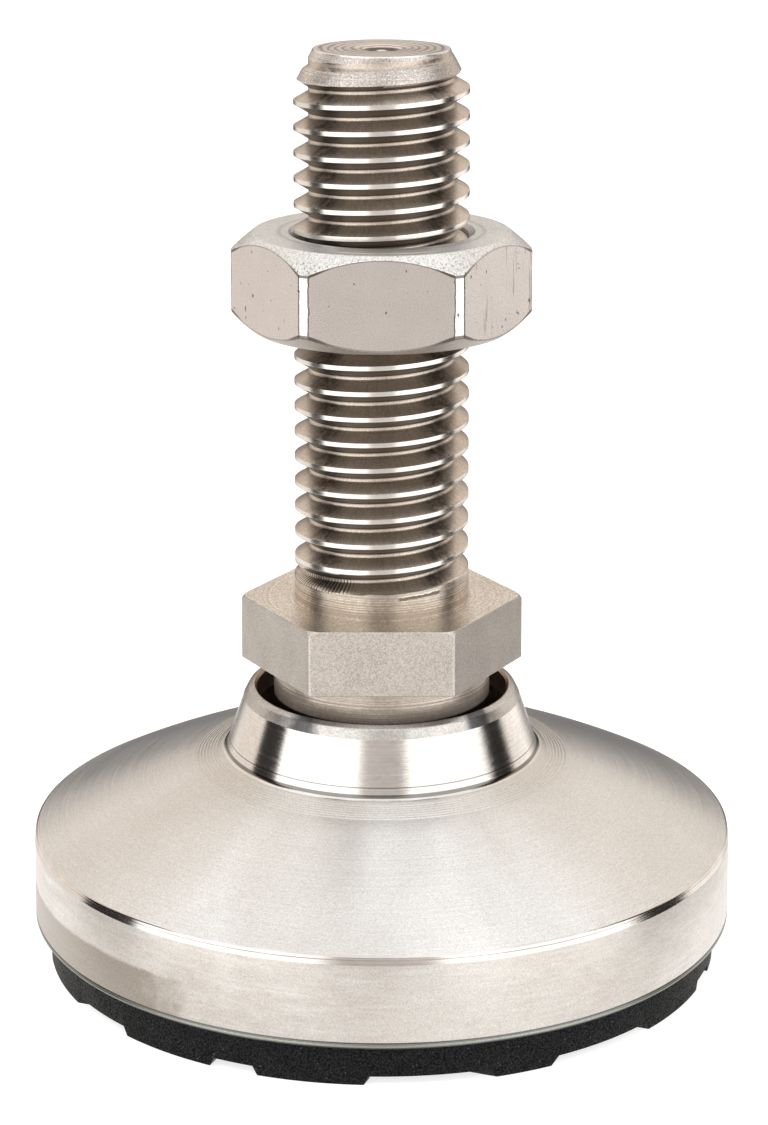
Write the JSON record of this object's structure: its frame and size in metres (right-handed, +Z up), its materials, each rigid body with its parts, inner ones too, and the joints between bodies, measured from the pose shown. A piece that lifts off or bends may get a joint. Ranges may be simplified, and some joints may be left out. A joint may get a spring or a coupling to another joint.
{
  "type": "furniture leveling foot",
  "caption": "Swivel leveling foot: turned stainless base with ball socket and rubber pad, ball-ended threaded stud with wrench hex, and jam nut.",
  "frame": {"origin": "on the floor, under the centre of the base", "axes": "+Z up along the upright stud; -Y is the front, where a flat of each hexagon faces; the base is round, so X and Y are otherwise free"},
  "size_m": [0.0635, 0.0634, 0.083],
  "materials": {
    "turned_stainless": "fine turned, satin on top, polished on the neck",
    "black_rubber": "moulded matte",
    "machined_stainless": "machined, satin",
    "spring_steel": "drawn wire",
    "nut_stainless": "machined, satin flats with bright chamfers"
  },
  "bodies": {
    "foot": {"base": "turned_stainless", "rubber_pad": "black_rubber"},
    "swivel_ring": {"retaining_ring": "spring_steel"},
    "stud": {"threaded_stud": "machined_stainless"},
    "nut": {"jam_nut": "nut_stainless"}
  },
  "joints": [
    {"name": "stud_turn", "type": "hinge", "parent": "foot", "child": "swivel_ring", "pos_m": [0, 0, 0.015], "axis": [0, 0, 1], "continuous": true},
    {"name": "stud_lean", "type": "hinge", "parent": "swivel_ring", "child": "stud", "pos_m": [0, 0, 0.015], "axis": [1, 0, 0], "range_deg": [-8, 8]},
    {"name": "nut_travel", "type": "slide", "parent": "stud", "child": "nut", "axis": [0, 0, 1], "range_m": [-0.02078, 0.01616]}
  ]
}
